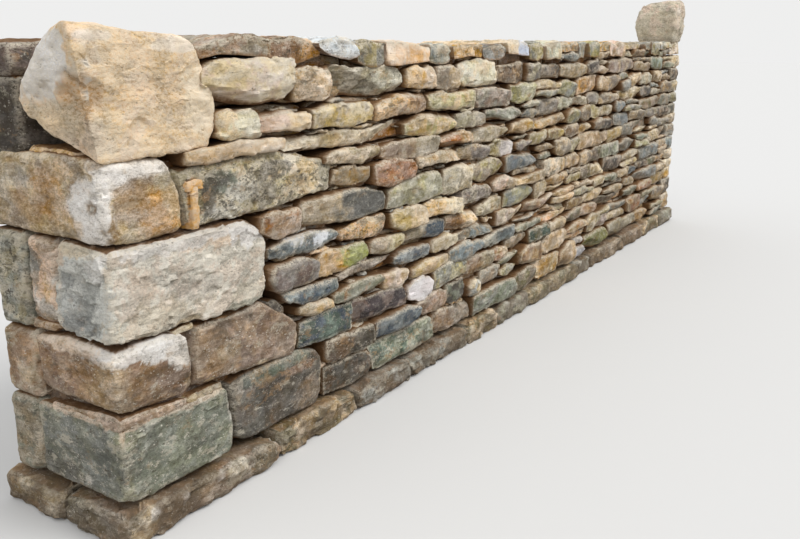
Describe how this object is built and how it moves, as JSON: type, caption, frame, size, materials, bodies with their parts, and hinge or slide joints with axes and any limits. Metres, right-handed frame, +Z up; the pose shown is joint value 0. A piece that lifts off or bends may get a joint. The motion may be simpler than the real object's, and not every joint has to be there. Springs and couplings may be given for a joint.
{
  "type": "dry stone wall",
  "caption": "Straight double-skinned dry stone wall with a squared quoined head, broken-bond courses, cover stones and a boulder on top at each end.",
  "frame": {"origin": "centre of the wall's length and thickness, on the ground under the footing", "axes": "+X along the wall from the quoined head to the far end, the pictured face looks to -Y, +Z up"},
  "size_m": [5.37, 0.5696, 1.64],
  "materials": {
    "footing_stone": "rough, soil-stained and lichened",
    "grey_green_stone": "rough, cleft",
    "dark_stone": "rough, cleft, weathered",
    "brown_stone": "rough, cleft",
    "pale_stone": "rough, freshly dressed",
    "ochre_stone": "rough, weathered",
    "mottled_stone": "rough, lichened",
    "coursed_stone": "rough, split faces of mixed tan, grey and rust",
    "hearting_stone": "rough, in shade",
    "cover_stone": "rough, flat-bedded",
    "boulder_stone": "rough, quarry-faced"
  },
  "bodies": {
    "root": {"footing_corner": "footing_stone", "footing_front": "footing_stone", "footing_back": "footing_stone", "head_quoin_1": "grey_green_stone", "head_quoin_2": "brown_stone", "head_quoin_3": "pale_stone", "head_quoin_4": "ochre_stone", "head_runner_1": "dark_stone", "head_runner_2": "brown_stone", "head_runner_4": "mottled_stone", "head_upright_3": "ochre_stone", "back_quoin_1": "grey_green_stone", "back_quoin_2": "brown_stone", "back_quoin_3": "mottled_stone", "head_back_stone_5": "dark_stone", "through_stones": "mottled_stone", "hearting": "hearting_stone", "cover_stones": "cover_stone", "head_cover_slab": "cover_stone", "corner_boulder": "boulder_stone", "far_boulder": "boulder_stone", "course_01": "coursed_stone", "course_02": "coursed_stone", "course_03": "coursed_stone", "course_04": "coursed_stone", "course_05": "coursed_stone", "course_06": "coursed_stone", "course_07": "coursed_stone", "course_08": "coursed_stone", "course_09": "coursed_stone", "course_10": "coursed_stone", "course_11": "coursed_stone", "course_12": "coursed_stone", "course_13": "coursed_stone"}
  },
  "joints": []
}
